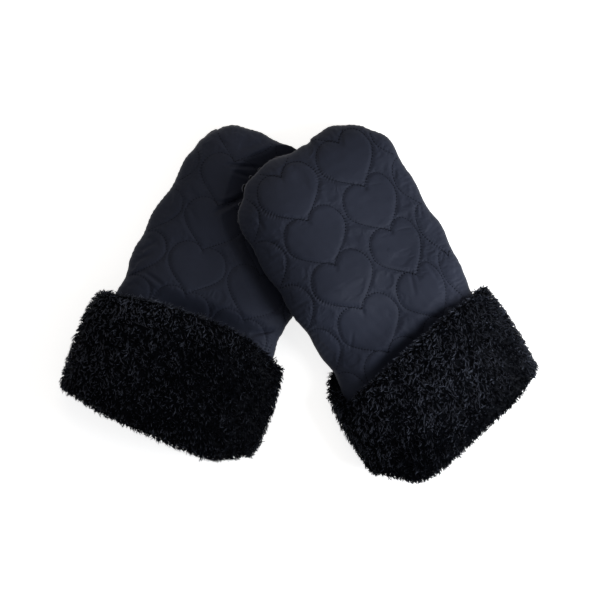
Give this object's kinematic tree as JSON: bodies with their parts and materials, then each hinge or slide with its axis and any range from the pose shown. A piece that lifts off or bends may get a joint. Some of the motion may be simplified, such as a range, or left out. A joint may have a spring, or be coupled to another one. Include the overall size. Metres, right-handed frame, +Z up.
{
  "type": "stroller hand muff pair",
  "caption": "Pair of quilted hand mitts for a stroller handlebar, with fur cuffs and a press-stud slot for the bar, one mitt lying over the other",
  "frame": {"origin": "centre of the pair's box, on the surface it lies on", "axes": "+Z up; -Y towards the cuffs; +X towards the right mitt, seen from above with the finger ends up"},
  "size_m": [0.4197, 0.3196, 0.0605],
  "materials": {
    "quilted_nylon": "matte navy nylon, quilted in hearts",
    "wadding": "loose polyester wadding",
    "fleece": "short black fleece",
    "curly_fur": "black curly faux fur",
    "snap_metal": "dark nickel press stud"
  },
  "bodies": {
    "left_mitt": {"left_front_shell": "quilted_nylon", "left_front_wadding": "wadding", "left_front_lining": "fleece", "left_back_shell": "quilted_nylon", "left_back_wadding": "wadding", "left_back_lining": "fleece", "left_cuff_fur": "curly_fur", "left_cuff_sleeve": "quilted_nylon", "left_snap_stud_1": "snap_metal", "left_snap_stud_2": "snap_metal"},
    "left_slot_flap": {"left_flap_shell": "quilted_nylon", "left_flap_wadding": "wadding", "left_flap_lining": "fleece", "left_snap_socket_1": "snap_metal", "left_snap_socket_2": "snap_metal"},
    "right_mitt": {"right_front_shell": "quilted_nylon", "right_front_wadding": "wadding", "right_front_lining": "fleece", "right_back_shell": "quilted_nylon", "right_back_wadding": "wadding", "right_back_lining": "fleece", "right_cuff_fur": "curly_fur", "right_cuff_sleeve": "quilted_nylon", "right_snap_stud_1": "snap_metal", "right_snap_stud_2": "snap_metal"},
    "right_slot_flap": {"right_flap_shell": "quilted_nylon", "right_flap_wadding": "wadding", "right_flap_lining": "fleece", "right_snap_socket_1": "snap_metal", "right_snap_socket_2": "snap_metal"}
  },
  "joints": [
    {"name": "right_mitt_lift", "type": "slide", "parent": "left_mitt", "child": "right_mitt", "axis": [0, 0, 1], "range_m": [0, 0.15]},
    {"name": "left_slot_open", "type": "hinge", "parent": "left_mitt", "child": "left_slot_flap", "pos_m": [-0.07719, 0.13166, 0.02943], "axis": [0.8625, 0.5061, 0], "range_deg": [0, 120]},
    {"name": "right_slot_open", "type": "hinge", "parent": "right_mitt", "child": "right_slot_flap", "pos_m": [-0.02189, 0.08975, 0.05901], "axis": [0.3129, 0.9401, -0.135], "range_deg": [0, 120]}
  ]
}
